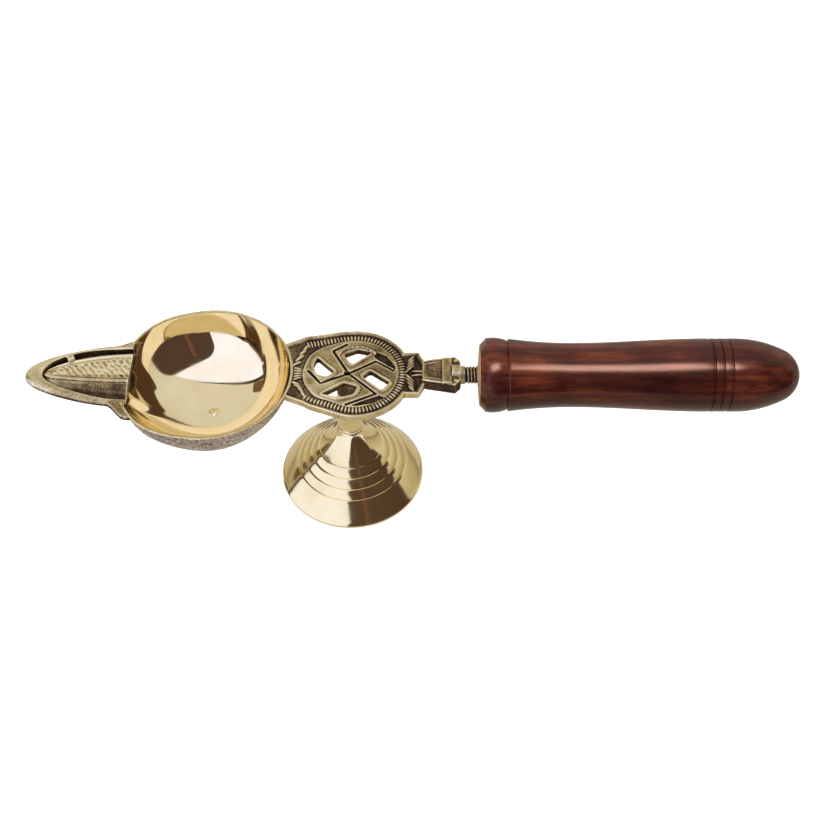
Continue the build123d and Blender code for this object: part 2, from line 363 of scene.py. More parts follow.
# lacquered hardwood: red-brown stain, dark pores along the grain, reddish gloss of tinted lacquer
def lacqueredWood(name):
    figureMm, cloudMm, poreMm, burntMm = 2.2, 22, 1.1, 6
    material, tree, shader = newMaterial(name)
    place = addNode(tree, "TexCoord", out="Object")
    fibres = addNode(tree, "Mapping", {"Vector": place, "Scale": (0.06, 1, 1)})
    figure = addNode(tree, "TexNoise", {"Vector": fibres, "Scale": 1 / (figureMm * mm), "Detail": 6})
    cloud = addNode(tree, "TexNoise", {"Vector": place, "Scale": 1 / (cloudMm * mm), "Detail": 3})
    mixed = addNode(tree, "Math", {0: figure, 1: cloud}, operation="ADD")
    half = addNode(tree, "Math", {0: mixed, 1: 0.5}, operation="MULTIPLY")
    stops = ((0.34, "#220d09"), (0.68, "#783a20"), (0.5, "#441a12"))
    stain = addNode(tree, "ValToRGB", {"Fac": half}, stops=stops)
    vessels = addNode(tree, "Mapping", {"Vector": place, "Scale": (0.2, 1, 1)})
    pores = addNode(tree, "TexVoronoi", {"Vector": vessels, "Scale": 1 / (poreMm * mm)}, out="Distance")
    dots = addNode(tree, "MapRange", {"Value": pores, 1: 0.08, 2: 0.22, 3: 0.35, 4: 1})
    streaks = addNode(tree, "Mapping", {"Vector": place, "Scale": (0.3, 1, 1)})
    patches = addNode(tree, "TexNoise", {"Vector": streaks, "Scale": 1 / (burntMm * mm), "Detail": 6})
    burnt = addNode(tree, "MapRange", {"Value": patches, 1: 0.52, 2: 0.72, 3: 1, 4: 0.4})
    shade = addNode(tree, "Math", {0: dots, 1: burnt}, operation="MULTIPLY")
    setInputs(tree, shader, {
        "Base Color": addNode(
            tree, "Mix", {0: 1.0, 6: stain, 7: shade}, out=2, data_type="RGBA", blend_type="MULTIPLY"),
        "Normal": addNode(tree, "Bump", {"Strength": 0.12, "Distance": 0.1 * mm, "Height": figure}),
        "Roughness": 0.2, "IOR": 1.5, "Specular IOR Level": 0.4, "Specular Tint": linear("#ffcab2"),
    })
    return material


# bare end grain: pale, dry and finely mottled
def bareWood(name):
    mottleMm = 0.9
    material, tree, shader = newMaterial(name)
    place = addNode(tree, "TexCoord", out="Object")
    mottle = addNode(tree, "TexNoise", {"Vector": place, "Scale": 1 / (mottleMm * mm), "Detail": 5})
    tone = addNode(tree, "ValToRGB", {"Fac": mottle}, stops=((0.3, "#8a6a4a"), (0.7, "#c9a67c")))
    setInputs(tree, shader, {"Base Color": tone, "Roughness": 0.7})
    return material


bowlPolish = buffedBrass("brassTurnedBowl", lamp["bowlX"], "#f4e2b6", "#ebd5a0", 0.05)
footPolish = buffedBrass("brassTurnedFoot", 0, "#efdba4", "#e2c98c", 0.1)
patina = castBrass("brassSandCast", "#2a1e16", "#5c4833", "#a78f5f", "#f2dfae")
shellBrass = castBrass("brassSandCastShell", "#3a322c", "#6e6258", "#b0a294", "#e6dccb")
rimBrass = castBrass("brassRubbedRim", "#7d6842", "#a08a58", "#cdb67e", "#f0e0b2")
threadBrass = rodBrass("brassThreadedRod")
stainedWood = lacqueredWood("hardwoodStainedLacquer")
endGrain = bareWood("hardwoodEndGrain")
print("materials ready")

# oil bowl: spun shell, mirror inside, sand-cast outside, mouth open to the spout
bowl = {
    "steps": 300, "rows": 60, "rimRound": 0.28, "rimBand": 0.32,
    "round": 2.3, "lean": 1.03,      # squareness of the inside, and share by which it leans out at the rim
    "cheekFront": 1.9, "cheekBack": 1.2, "frontWall": 1.0,
    "markRadius": 3.1,
    # centre mark of the lathe as radius and height: dot, groove and a low ring
    "mark": (
        (0, -0.2), (0.5, -0.22), (0.85, -0.4), (1.15, -0.62),
        (1.5, -0.5), (1.75, 0.06), (2.05, 0.14), (2.5, 0.1)),
}
innerRim = lamp["bowlRadius"] - lamp["rimWall"]
bowlFloor = deck - lamp["bowlDepth"]
bowlUnder = bowlFloor - lamp["floorWall"]
outerDepth = lamp["bowlDepth"] + lamp["floorWall"]
outerBall = (lamp["bowlRadius"]**2 + outerDepth**2) / (2 * outerDepth)
outerCentre = bowlUnder + outerBall
bowlPlace = at(lamp["bowlX"], 0, 0)


def outward(p):
    # how far a point lies outside the bowl's outer ball
    return hypot(p.x - lamp["bowlX"], p.y, p.z - outerCentre) - outerBall


def innerHeight(radius):
    # inside of the bowl: flatter at the bottom and steeper at the rim than a ball
    def rise(share):
        return (1 - share**bowl["round"])**(1 / bowl["round"])

    spare = rise(1 / bowl["lean"])
    full = lamp["bowlDepth"] / (1 - spare)
    return deck + full * (spare - rise(radius / (innerRim * bowl["lean"])))


def innerStrokes(start, rows):
    first = asin(start / innerRim)
    radii = [innerRim * sin(first + (pi / 2 - first) * row / rows) for row in range(1, rows + 1)]
    return [(radius, innerHeight(radius)) for radius in radii]


def swellBowl(piece):
    # hand-fettled shape: fuller cheeks beside the spout, thicker wall at the front
    for vert in piece.data.vertices:
        p = vert.co / mm
        out = Vector((p.x - lamp["bowlX"], p.y, 0))
        if out.length < 1:
            continue
        turned = degrees(atan2(abs(p.y), -out.x))
        height = ramp(p.z, bowlFloor, deck)
        cheek = ramp(turned, 82, 42) * ramp(turned, 10, 22) * height
        grow = cheek * (bowl["cheekFront"] if p.y < 0 else bowl["cheekBack"])
        if p.y < 0 and outward(p) > -0.25:
            grow += bowl["frontWall"] * ramp(turned, 150, 95) * ramp(p.z, deck, 46)
        vert.co += out.normalized() * grow * mm


def bowlSkinDarkening(p, n):
    # speckled skin, darker towards the underside
    return 0.06 + 0.2 * noise.noise(p / 0.9) + 0.12 * ramp(p.z, 46, 36)


def makeBowl():
    bm = bmesh.new()
    underAngle = degrees(acos((outerCentre - deck) / outerBall))
    turn(bm, [
        *[(radius, bowlFloor + height) for radius, height in bowl["mark"]],
        (bowl["markRadius"], innerHeight(bowl["markRadius"])),
        *innerStrokes(bowl["markRadius"], bowl["rows"]),
        (lamp["bowlRadius"], deck),
        ("arc", 0, outerCentre, -underAngle, bowl["rows"]),
    ], bowl["steps"], bowlPlace)
    rim = [edge for edge in bm.edges if all(abs(v.co.z - deck * mm) < 0.01 * mm for v in edge.verts)]
    rim = [edge for edge in rim if edge.calc_length() < 0.85 * mm]
    roundOff(bm, rim, bowl["rimRound"] * mm, 3)
    piece = toObject("oil_bowl", bm)
    roughen(piece, 1.0, 0.12, lambda p: outward(p) < -0.3)
    layer = piece.data.attributes.new("castSide", "FLOAT", "POINT")
    layer.data.foreach_set("value", [float(outward(v.co / mm) > -0.35) for v in piece.data.vertices])
    swellBowl(piece)
    cut(piece, troughBlock(wallTops=True))
    recordWearAndPaintedLight(piece, 6, 4, bowlSkinDarkening)
    shadeSmooth(piece, 40)
    finishPiece(piece, "lamp", "lamp_casting", "polished_brass", bowlPolish, shellBrass, rimBrass)
    castSide = piece.data.attributes["castSide"].data
    for face in piece.data.polygons:
        out = all(castSide[corner].value > 0.5 for corner in face.vertices)
        high = face.center.z > (deck - bowl["rimBand"]) * mm
        face.material_index = 2 if high else 1 if out else 0


# wick spout: beak with a keel, a trough that opens into the bowl and a leaf on the trough's floor
spout = {
    "reach": 38.7,           # half length of its outline, from its centre inside the bowl
    "width": 24.2, "wall": 2.2, "root": 4.0,
    "lip": 2.2,
    # rounding of the lip: how far each ring draws in along and across, and its depth
    "lipRound": ((2.4, 1.6, 0.04), (1.3, 0.9, 0.3), (0.5, 0.35, 0.8), (0.1, 0.05, 1.5)),
    "nose": 5.9,             # solid metal at the tip
    "troughDepth": 3.0,
    "keelReach": 29.0, "keelWidth": 9.0, "keelDrop": 5.0,
    "mouth": -71.7,          # straight edge where it opens into the bowl
    # share by which its sides are fuller towards the bowl, and where along X that grows
    "frontSwell": 0.1, "backSwell": 0.07, "swellSpan": (-102, -78),
    # how far its lips sweep out into the bowl's wall
    "frontFlare": 5.5, "backFlare": 2.0, "flareSpan": (-78, -71),
    # share by which the trough is wider: far side at the tip, near side at the bowl
    "farRoom": 0.13, "farSpan": (-74, -92), "nearRoom": 0.08, "nearSpan": (-92, -76),
    # lump of metal left in the trough's far corner
    "lump": (-24.6, 6.7, -1.9), "lumpSize": (2.3, 2.6, 3.2), "lumpTurn": 25,
    "voxel": 0.2,
}
spout["x"] = lamp["bowlX"] - sqrt(lamp["bowlRadius"]**2 - (spout["width"] / 2)**2) + spout["root"]
leaf = {
    "grid": (190, 110), "tipGap": 0.4,
    "farY": 8.8, "nearY": -10.8, "ribY": -2.6, "ribZ": 53.35, "farDrop": 0.9, "nearDrop": 1.9,
    "veinPitch": 1.9, "veinDepth": 0.5, "veinSlant": (0.9, 0.75),
    "edgeLine": 0.87, "edgeDepth": 0.2, "edgeRise": 0.2,
    "lineSpace": 1.9, "lineDepth": 0.07, "lineSlant": 0.08,
    "ribHalf": 0.75, "ribDepth": 0.3,
}


def ellipseRing(bm, reach, halfWidth, height):
    ring = bmesh.ops.create_circle(bm, segments=144, radius=1)["verts"]
    size = Matrix.Diagonal((reach * mm, halfWidth * mm, 1, 1))
    bmesh.ops.transform(bm, matrix=at(spout["x"], 0, height) @ size, verts=ring)
    return edgesOf(ring)


def stackRings(bm, rings):
    # bridges ellipse rings from top to bottom and closes both ends
    loops = [ellipseRing(bm, *ring) for ring in rings]
    for upper, lower in zip(loops, loops[1:]):
        bmesh.ops.bridge_loops(bm, edges=upper + lower)
    for end in (loops[0], loops[-1]):
        bmesh.ops.contextual_create(bm, geom=end)
    bmesh.ops.recalc_face_normals(bm, faces=bm.faces[:])


def troughBlock(wallTops=False):
    # space of the trough; with wallTops it also clears the bowl's rim where the spout's walls run in
    bm = bmesh.new()
    reach = spout["reach"] - spout["nose"]
    half = spout["width"] / 2 - spout["wall"]
    over = deck + 3
    rings = [(reach, half, over), (reach, half, deck - spout["troughDepth"])]
    if wallTops:
        full, ledge = spout["width"] / 2 - 0.3, deck - 0.7
        rings[:1] = [(spout["reach"], full, over), (spout["reach"], full, ledge), (reach, half, ledge - 0.02)]
    stackRings(bm, rings)
    for vert in bm.verts:
        x, y = vert.co.x / mm, vert.co.y / mm
        if abs(y) < half + 0.05:
            far = spout["farRoom"] * ramp(x, *spout["farSpan"])
            near = spout["nearRoom"] * ramp(x, *spout["nearSpan"])
            vert.co.y *= 1 + (far if y > 0 else near)
    if wallTops:
        fullerCheeks(bm)
    return bm


def fullerCheeks(bm, flared=False):
    # the spout is hand-shaped: wider towards the bowl, more so at the front;
    # with flared its lips also sweep out into the bowl's wall
    for vert in bm.verts:
        side, swell, flare = 1, spout["backSwell"], spout["backFlare"]
        if vert.co.y < 0:
            side, swell, flare = -1, spout["frontSwell"], spout["frontFlare"]
        x = vert.co.x / mm
        vert.co.y *= 1 + swell * ramp(x, *spout["swellSpan"])
        if flared:
            edge = spout["width"] / 2 * (1 + swell)
            outer = ramp(abs(vert.co.y) / mm, 0.9 * edge, 0.93 * edge)
            vert.co.y += side * flare * outer * ramp(x, *spout["flareSpan"]) * mm


def veinRelief(x, s, away):
    # far half of the leaf: broken slanting veins and a line along its raised edge
    vein = (x * leaf["veinSlant"][0] + away * leaf["veinSlant"][1]) / leaf["veinPitch"]
    broken = 0.5 + noise.noise(Vector((vein * 1.7, away * 0.8, 2.1)))
    stripe = abs((vein + 0.25 * noise.noise(Vector((x * 0.5, away * 0.6, 0)))) % 1 - 0.5)
    shown = ramp(away, 1.0, 1.8) * ramp(broken, 0.15, 0.5) * ramp(s, 0.84, 0.78)
    line = leaf["edgeDepth"] * ramp(abs(s - leaf["edgeLine"]), 0.05, 0.02)
    return leaf["edgeRise"] * ramp(s, 0.92, 0.96) - line - leaf["veinDepth"] * ramp(stripe, 0.3, 0.08) * shown


def lineRelief(x, away):
    # near half of the leaf: faint lines along the midrib
    share = (away - x * leaf["lineSlant"]) / leaf["lineSpace"] % 1
    return -leaf["lineDepth"] * abs(2 * share - 1) * ramp(away, 0.8, 1.6)


def leafBed(bm):
    # raised leaf on the trough's floor: two slopes from a double midrib
    along, across = leaf["grid"]
    grid = bmesh.ops.create_grid(bm, x_segments=along, y_segments=across, size=1)["verts"]
    reach = spout["reach"] - spout["nose"] - leaf["tipGap"]
    floor = deck - spout["troughDepth"]
    for vert in grid:
        t, s = vert.co.x, vert.co.y
        x = t * reach
        wide = sqrt(max(1 - t * t, 0))
        edge = (leaf["farY"] if s > 0 else leaf["nearY"]) * wide
        ribY = leaf["ribY"] * wide
        y = ribY + (edge - ribY) * abs(s)
        away = abs(y - ribY)
        z = leaf["ribZ"] - (leaf["farDrop"] if s > 0 else leaf["nearDrop"]) * abs(s)
        z += veinRelief(x, s, away) if s > 0 else lineRelief(x, away)
        z -= leaf["ribDepth"] * ramp(abs(away - leaf["ribHalf"]), 0.3, 0.05)
        vert.co = Vector((spout["x"] + x, y, max(z, floor + 0.1))) * mm
    ours = set(grid)
    boundary = [edge for edge in bm.edges if edge.is_boundary and edge.verts[0] in ours]
    skirt = bmesh.ops.extrude_edge_only(bm, edges=boundary)["geom"]
    for vert in pick(skirt, bmesh.types.BMVert):
        vert.co.z = (floor - 1.2) * mm
    bmesh.ops.contextual_create(bm, geom=pick(skirt, bmesh.types.BMEdge))
    bmesh.ops.remove_doubles(bm, verts=bm.verts[:], dist=0.01 * mm)


def bowlSpace():
    # room inside the bowl, ended by a straight edge where the spout's leaf begins
    over = deck + 4
    bm = bmesh.new()
    turn(bm, [(0, bowlFloor), *innerStrokes(0, 40), (innerRim + 0.1, over), (0, over)], 128, bowlPlace)
    room = toObject("room", bm)
    swellBowl(room)
    bm = openMesh(room)
    discard(room)
    ends = bmesh.ops.bisect_plane(
        bm, geom=bm.verts[:] + bm.edges[:] + bm.faces[:], plane_co=(spout["mouth"] * mm, 0, 0),
        plane_no=(-1, 0, 0), clear_outer=True)
    bmesh.ops.contextual_create(bm, geom=pick(ends["geom_cut"], bmesh.types.BMEdge))
    bmesh.ops.recalc_face_normals(bm, faces=bm.faces[:])
    return bm


def spoutGrimeAndPaintedLight(p, n):
    # burnt oil and painted shade in the trough, a painted reflection on its far half and a painted highlight
    # at the mouth's end; lips rubbed pale, with painted shade under their rounding and on their near side
    # side and downward faces below the lip: painted shade
    if n.z < 0.3 and p.z < deck - spout["lip"]:
        return 0.12
    reach, half = spout["reach"] - spout["nose"], spout["width"] / 2 - spout["wall"]
    # outer lip: painted shadow under its rounding and painted shade on its near side; rubbed pale, most at
    # the tip
    if hypot((p.x - spout["x"]) / reach, p.y / half) > 1.02:
        near, tip = ramp(p.y, 2, -4), ramp(p.x, -92, -104)
        return 0.4 * ramp(n.z, 0.5, 0.15) + 0.26 * near * (1 - tip) - 0.18 - 0.06 * tip
    depth = deck - p.z
    # in the trough: burnt oil and painted shade growing with depth, painted shade on the near half, a painted
    # reflection lightening the far half, a painted highlight at the mouth's end
    near = ramp(p.y, -2.8, -4.4) * ramp(p.x, -97, -86)
    far = ramp(p.y, -1.0, 0.4) * ramp(depth, 2.4, 1.8)
    edge = ramp(p.x, spout["mouth"] - 0.8, spout["mouth"] - 0.2)
    return 0.3 * ramp(depth, 1.4, 2.4) + 0.16 * near - 0.38 * far - 0.25 * edge


def makeSpout():
    half = spout["width"] / 2
    lipLow = deck - spout["lip"]
    keelReach, keelHalf, keelLow = spout["keelReach"], spout["keelWidth"] / 2, lipLow - spout["keelDrop"]
    bm = bmesh.new()
    stackRings(bm, (
        *[(spout["reach"] - along, half - across, deck - down) for along, across, down in spout["lipRound"]],
        (spout["reach"], half, lipLow),
        (keelReach + 2.2, keelHalf + 1.6, keelLow + 1.0),
        (keelReach, keelHalf, keelLow),
    ))
    piece = toObject("wick_spout", bm)
    cut(piece, troughBlock())
    bm = openMesh(piece)
    leafBed(bm)
    lumpX, lumpY, lumpZ = spout["lump"]
    block(bm, (spout["x"] + lumpX, lumpY, deck + lumpZ), spout["lumpSize"], radians(spout["lumpTurn"]))
    fullerCheeks(bm, flared=True)
    closeMesh(piece, bm)
    castSkin(piece, spout["voxel"])
    cut(piece, bowlSpace())
    finishCasting(piece, spoutGrimeAndPaintedLight)


# flared tang: sunk top between rails, a broad cross band and the ridge over the stud
tang = {
    "root": 8.2, "width": 13.0, "thick": 4.8, "corner": 1.8, "overlap": 1.2,
    "bandX": 32.8, "band": 3.0,
    "railEnd": 31.6, "rail": (8.4, 0.8, 0.8), "innerRail": (7.2, 0.6, 0.7),
    "knob": (2.4, 1.5, 0.8), "knobPlace": (35.9, 4.4),
    "ridge": 3.5, "socket": 3.0, "pilot": 1.9, "drillDepth": 8.8,
}


def mirrored(bm, verts):
    # closes a half outline that starts and ends on the X axis
    bmesh.ops.mirror(
        bm, geom=verts + edgesOf(verts), matrix=Matrix.Identity(4), merge_dist=0.01 * mm, axis="Y")
    bmesh.ops.remove_doubles(bm, verts=bm.verts[:], dist=0.01 * mm)
    return bm.verts[:]


def tangGrimeAndPaintedShade(p, n):
    # grime on the sunk top beside the band; painted shade on the walls
    # side walls: painted shade
    if n.z < 0.35:
        return 0.34
    band = ramp(abs(p.x - tang["bandX"]), 2.0, 1.2)
    return 0.3 * ramp(lamp["axis"] + tang["thick"] / 2 - p.z, 0.0, 0.3) * (1 - band) + 0.06 * band


def makeTang():
    bm = bmesh.new()
    root, wide, end = tang["root"] / 2, tang["width"] / 2, lamp["tangEnd"]
    low = lamp["axis"] - tang["thick"] / 2
    top = low + tang["thick"]
    startX = lamp["tangX"] - tang["overlap"]
    outline = mirrored(bm, pen(bm, (
        (startX, 0), (startX, root),
        (end - tang["corner"], wide - 0.3), (end, wide - tang["corner"] - 0.6), (end, 0),
    ), upright=False))
    fillOutline(bm, outline, low, top - 0.15)
    slope = atan2(wide - root, end - startX)
    railX = (startX + tang["railEnd"]) / 2
    knobX, knobY = tang["knobPlace"]
    for side in (1, -1):
        ellipsoid(bm, (railX, side * (root + 0.45), top - 0.25), tang["rail"], side * slope)
        ellipsoid(bm, (railX, side * (root - 0.7), top - 0.3), tang["innerRail"], side * slope)
        ellipsoid(bm, (knobX, side * knobY, top - 0.3), tang["knob"], side * 0.3)
    block(bm, (tang["bandX"], 0, top - 0.3), (tang["band"], 2 * wide - 1.9, 1.1))
    rod(bm, (end - tang["socket"] / 2 + 0.1, 0, lamp["axis"]), tang["ridge"], tang["socket"], alongX)
    piece = toObject("tang", bm)
    castSkin(piece, medal["voxel"])
    drill = bmesh.new()
    bore, pilot, socket, depth = lamp["handleBore"], tang["pilot"], tang["socket"], tang["drillDepth"]
    turn(drill, (
        (0, -2), (bore, -2), (bore, socket - 0.6), (pilot, socket - 0.3), (pilot, depth), (0, depth),
    ), 40, at(end, 0, lamp["axis"]) @ alongX.inverted())
    cut(piece, drill)
    finishCasting(piece, tangGrimeAndPaintedShade)


# pierced medallion with its leaf crown, one sand casting with bowl and tang
medal = {
    "frontX": 2.5, "frontRadius": 18.6,
    "backX": -7.5, "backRadius": 15.8,
    "shoulder": 20.0, "root": 4.0,
    "border": 1.7, "outerRound": 0.4, "innerRound": 0.3,
    "ground": 0.9,           # sunken ground below the border
    "field": 0.45,           # field that carries the sign, below the border
    "fieldInset": 4.2,
    "fieldBackX": -4.5, "fieldBack": (10.1, 12.0),       # field's end towards the bowl, half axes
    "beadInset": 2.95, "beadCount": 72, "bead": (2.6, 0.8, 1.0),
    "beadEnd": 119.7,        # direction in degrees where the bead row stops
    "rimWidth": 1.15, "rimRise": 0.26, "cornerRound": 0.9,
    "grooveWidth": 0.78, "grooveDepth": 0.9, "patchDepth": 0.4,
    "featherCount": 9, "featherPlace": (3.2, 6.6), "featherReach": (6.4, 4.6), "feather": (2.4, 1.1, 1.0),
    "crownWidth": 17.8, "crownLength": 4.8,
    "boss": 3.5, "pilot": 1.1,
    "sway": 0.8, "shoulderSway": 1.4,                    # how far its bowl side stands off to the back
    "voxel": 0.206,
}
medal["tangentAngle"] = degrees(
    acos((medal["backRadius"] - medal["frontRadius"]) / (medal["frontX"] - medal["backX"])))
piercings = (
    ((1.5, 3.6), (8.3, 9.0), (3.2, 10.4), (-1.5, 8.1)),
    ((4.9, -1.6), (7.6, 1.1), (14.2, -4.0), (11.4, -7.5)),
    ((-8.3, -9.1), (-0.8, -4.2), (3.6, -5.8), (2.4, -9.2), (-2.4, -10.6)),
    ((-10.0, 6.8), (-4.1, 0.6), (-6.8, -1.8), (-10.2, -0.6), (-11.2, 3.6)),
)
# the sign: each arm goes from the middle to its elbow and on to the end of its hook
signMiddle = (0.5, -0.2)
signArms = (
    ((-4.9, 9.6), (-0.2, 12.7)), ((9.5, 5.2), (15.4, 1.1)),
    ((9.6, -8.9), (-0.3, -13.6)), ((-8.6, -4.3), (-13.0, 1.2)),
)
# sunk ground beside the hooks of the right and lower arms
sunkPatches = (
    ((9.4, 9.2), (12.8, 7.6), (15.7, 3.2), (15.9, 1.5), (10.2, 5.6), (8.8, 7.2)),
    ((10.6, -9.6), (12.6, -10.4), (8.8, -12.8), (3.2, -14.0), (1.6, -13.7), (6.4, -11.4)),
)
# leaves: first place, step from one to the next, size and turn
leaves = {
    "fanX": -16.3, "fanStep": 1.05, "fan": (3.4, 0.85, 1.1), "fanTurn": 0.16,
    "curlPlace": (-16.9, 4.2), "curlStep": (0.9, 1.9), "curl": (3.8, 1.15, 1.15), "curlTurn": (0.5, 0.18),
    "almondPlace": (24.2, 0.75), "almond": (6.6, 0.8, 1.25), "almondTurn": 0.06,
    "crownPlace": (20.5, 1.9), "crownStep": (0.2, 1.5), "crownLength": (5.2, 0.6), "crownTurn": 0.86,
}


def plateStrokes():
    front, back = medal["frontRadius"], medal["backRadius"]
    join = medal["tangentAngle"]
    angle = radians(join)
    half = medal["shoulder"] / 2
    startX = lamp["bowlX"] + sqrt(lamp["bowlRadius"]**2 - half**2) - medal["root"]
    away = hypot(startX - medal["backX"], half)
    touch = atan2(half, startX - medal["backX"]) - acos(back / away)
    crownHalf, tangHalf, endX = medal["crownWidth"] / 2, tang["root"] / 2, lamp["tangX"] + 1
    return (
        (startX, 0),
        (startX, half),
        (medal["backX"] + back * cos(touch), back * sin(touch)),
        ("arc", medal["backX"], 0, join - degrees(touch), 6),
        (medal["frontX"] + front * cos(angle), front * sin(angle)),
        ("arc", medal["frontX"], 0, degrees(asin(crownHalf / front)) - join, 28),
        (lamp["crownX"] + medal["crownLength"], crownHalf),
        (lamp["tangX"], tangHalf),
        (endX, tangHalf),
        (endX, 0),
    )


def beadPlace(share):
    # point and direction on the bead row, from its upper end round the front to its lower end
    front = medal["frontRadius"] - medal["beadInset"]
    back = medal["backRadius"] - medal["beadInset"]
    gap = medal["frontX"] - medal["backX"]
    join, stop = radians(medal["tangentAngle"]), radians(medal["beadEnd"])
    lengths = (back * (stop - join), gap * sin(join), front * join)
    total = 2 * sum(lengths)
    s = share * total
    side = 1 if s <= total / 2 else -1
    s = min(s, total - s)
    if s < lengths[0]:
        angle = stop - s / back
        x, y = medal["backX"] + back * cos(angle), back * sin(angle)
    elif s < lengths[0] + lengths[1]:
        along = (s - lengths[0]) / lengths[1]
        angle = join
        x = medal["backX"] + back * cos(join) + along * (gap + (front - back) * cos(join))
        y = (back + along * (front - back)) * sin(join)
    else:
        angle = join - (s - lengths[0] - lengths[1]) / front
        x, y = medal["frontX"] + front * cos(angle), front * sin(angle)
    return x, side * y, side * angle


def drawLoop(bm, points):
    verts = [bm.verts.new(Vector((*point, 0)) * mm) for point in points]
    for a, b in zip(verts, verts[1:] + verts[:1]):
        bm.edges.new((a, b))
    return verts


def piercingBlocks(bm, grow, low, high):
    for corners in piercings:
        points = [Vector(corner) for corner in corners]
        middle = sum(points, Vector((0, 0))) / len(points)
        verts = drawLoop(bm, [point + (point - middle).normalized() * grow * 1.25 for point in points])
        rounded = roundOff(bm, verts, (medal["cornerRound"] + grow) * mm, 4, "VERTICES")
        fillOutline(bm, [vert for vert in rounded if vert.is_valid], low, high)


def plateBlock():
    # plate with a raised round border and sunken ground
    bm = bmesh.new()
    outline = mirrored(bm, pen(bm, plateStrokes(), upright=False))
    top = fillOutline(bm, outline, lamp["plateBottom"], deck)
    bmesh.ops.inset_region(bm, faces=[top], thickness=medal["border"] * mm, use_even_offset=True)
    bmesh.ops.translate(bm, verts=top.verts[:], vec=(0, 0, -medal["ground"] * mm))
    for size, side in ((medal["outerRound"], True), (medal["innerRound"], False)):
        border = [edge for edge in bm.edges if all(v.co.z > (deck - 0.01) * mm for v in edge.verts)]
        border = [edge for edge in border if abs(edge.calc_face_angle(0)) > 0.3]
        outer = [min(v.co.z for f in edge.link_faces for v in f.verts) < (deck - 1) * mm for edge in border]
        roundOff(bm, [edge for edge, isOuter in zip(border, outer) if isOuter == side], size * mm, 5)
    return bm


def fieldBlock():
    # field that carries the sign: round at the front, an ellipse's arc towards the bowl
    bm = bmesh.new()
    reach, half = medal["fieldBack"]
    for height in (lamp["plateBottom"] + 0.5, deck - medal["field"]):
        bmesh.ops.create_circle(
            bm, segments=96, radius=(medal["frontRadius"] - medal["fieldInset"]) * mm,
            matrix=at(medal["frontX"], 0, height))
        for turned in range(105, 260, 5):
            angle = radians(turned)
            bm.verts.new(Vector((reach * cos(angle) + medal["fieldBackX"], half * sin(angle), height)) * mm)
    hull = bmesh.ops.convex_hull(bm, input=bm.verts[:])
    spare = set(pick(hull["geom_interior"] + hull["geom_unused"], bmesh.types.BMVert))
    bmesh.ops.delete(bm, geom=list(spare), context="VERTS")
    bmesh.ops.remove_doubles(bm, verts=bm.verts[:], dist=0.01 * mm)
    return bm


def signCuts():
    # piercings, the engraved sign and the sunk patches beside it
    bm = bmesh.new()
    face = deck - medal["field"]
    piercingBlocks(bm, 0, lamp["plateBottom"] - 1, deck + 1)
    for elbow, hook in signArms:
        for start, end in ((signMiddle, elbow), (elbow, hook)):
            along = Vector(end) - Vector(start)
            middle = ((start[0] + end[0]) / 2, (start[1] + end[1]) / 2, face + 0.2)
            size = (along.length + 0.3, medal["grooveWidth"], 2 * medal["grooveDepth"])
            block(bm, middle, size, atan2(along.y, along.x))
    for corners in sunkPatches:
        fillOutline(bm, drawLoop(bm, corners), face - medal["patchDepth"], deck + 1)
    return bm


def addLeaves(bm):
    ground = deck - medal["ground"]
    # fan of short bars and two curled leaves beside the bowl
    for number in range(-2, 3):
        place = (leaves["fanX"], number * leaves["fanStep"], ground)
        ellipsoid(bm, place, leaves["fan"], -number * leaves["fanTurn"])
    for side in (1, -1):
        for number in range(4):
            x, y = Vector(leaves["curlPlace"]) + number * Vector(leaves["curlStep"])
            first, more = leaves["curlTurn"]
            ellipsoid(bm, (x, side * y, ground), leaves["curl"], side * (first + more * number))
    # crown: almond in the middle and slanting leaves on both sides
    for side in (1, -1):
        x, y = leaves["almondPlace"]
        ellipsoid(bm, (x, side * y, ground + 0.1), leaves["almond"], -side * leaves["almondTurn"])
        for number in range(4):
            x, y = Vector(leaves["crownPlace"]) + number * Vector(leaves["crownStep"])
            first, less = leaves["crownLength"]
            size = (first - less * number, 1.0, 1.2)
            ellipsoid(bm, (x, side * y, ground), size, side * leaves["crownTurn"])


def layOn(bm):
    # beads, feathers, leaves and boss, and the plate's hand-made sway
    for number in range(medal["beadCount"]):
        x, y, angle = beadPlace((number + 0.5) / medal["beadCount"])
        ellipsoid(bm, (x, y, deck - medal["ground"] + 0.05), medal["bead"], angle)
    (x, y), (reach, half) = medal["featherPlace"], medal["featherReach"]
    for number in range(medal["featherCount"]):
        angle = radians(150 - 15 * number)
        ellipsoid(bm, (x + reach * cos(angle), y + half * sin(angle), deck - medal["field"] + 0.1),
                  medal["feather"], angle - pi / 2 + 0.15 * cos(angle))
    addLeaves(bm)
    bossTop = lamp["plateBottom"] + 0.6
    rod(bm, (0, 0, (lamp["bossBottom"] + bossTop) / 2), medal["boss"], bossTop - lamp["bossBottom"])
    for vert in bm.verts:
        p = vert.co / mm
        sway = medal["sway"] * ramp(p.x, 2, -9) * ramp(abs(p.y), 8, 14)
        vert.co.y += (sway + medal["shoulderSway"] * ramp(p.x, -9, -17) * ramp(abs(p.y), 4, 8)) * mm


def drillSpace():
    # stud's hole from below with its thin pilot, and the bowl's own space
    bm = bmesh.new()
    bore, pilot, low, high = lamp["footBore"], medal["pilot"], lamp["plateBottom"] + 0.2, deck + 3
    turn(bm, (
        (0, 40), (bore, 40), (bore, low), (pilot, low + 0.4), (pilot, high), (0, high),
    ), 32)
    bmesh.ops.create_uvsphere(
        bm, u_segments=96, v_segments=64, radius=(outerBall - 0.25) * mm,
        matrix=at(lamp["bowlX"], 0, outerCentre))
    return bm


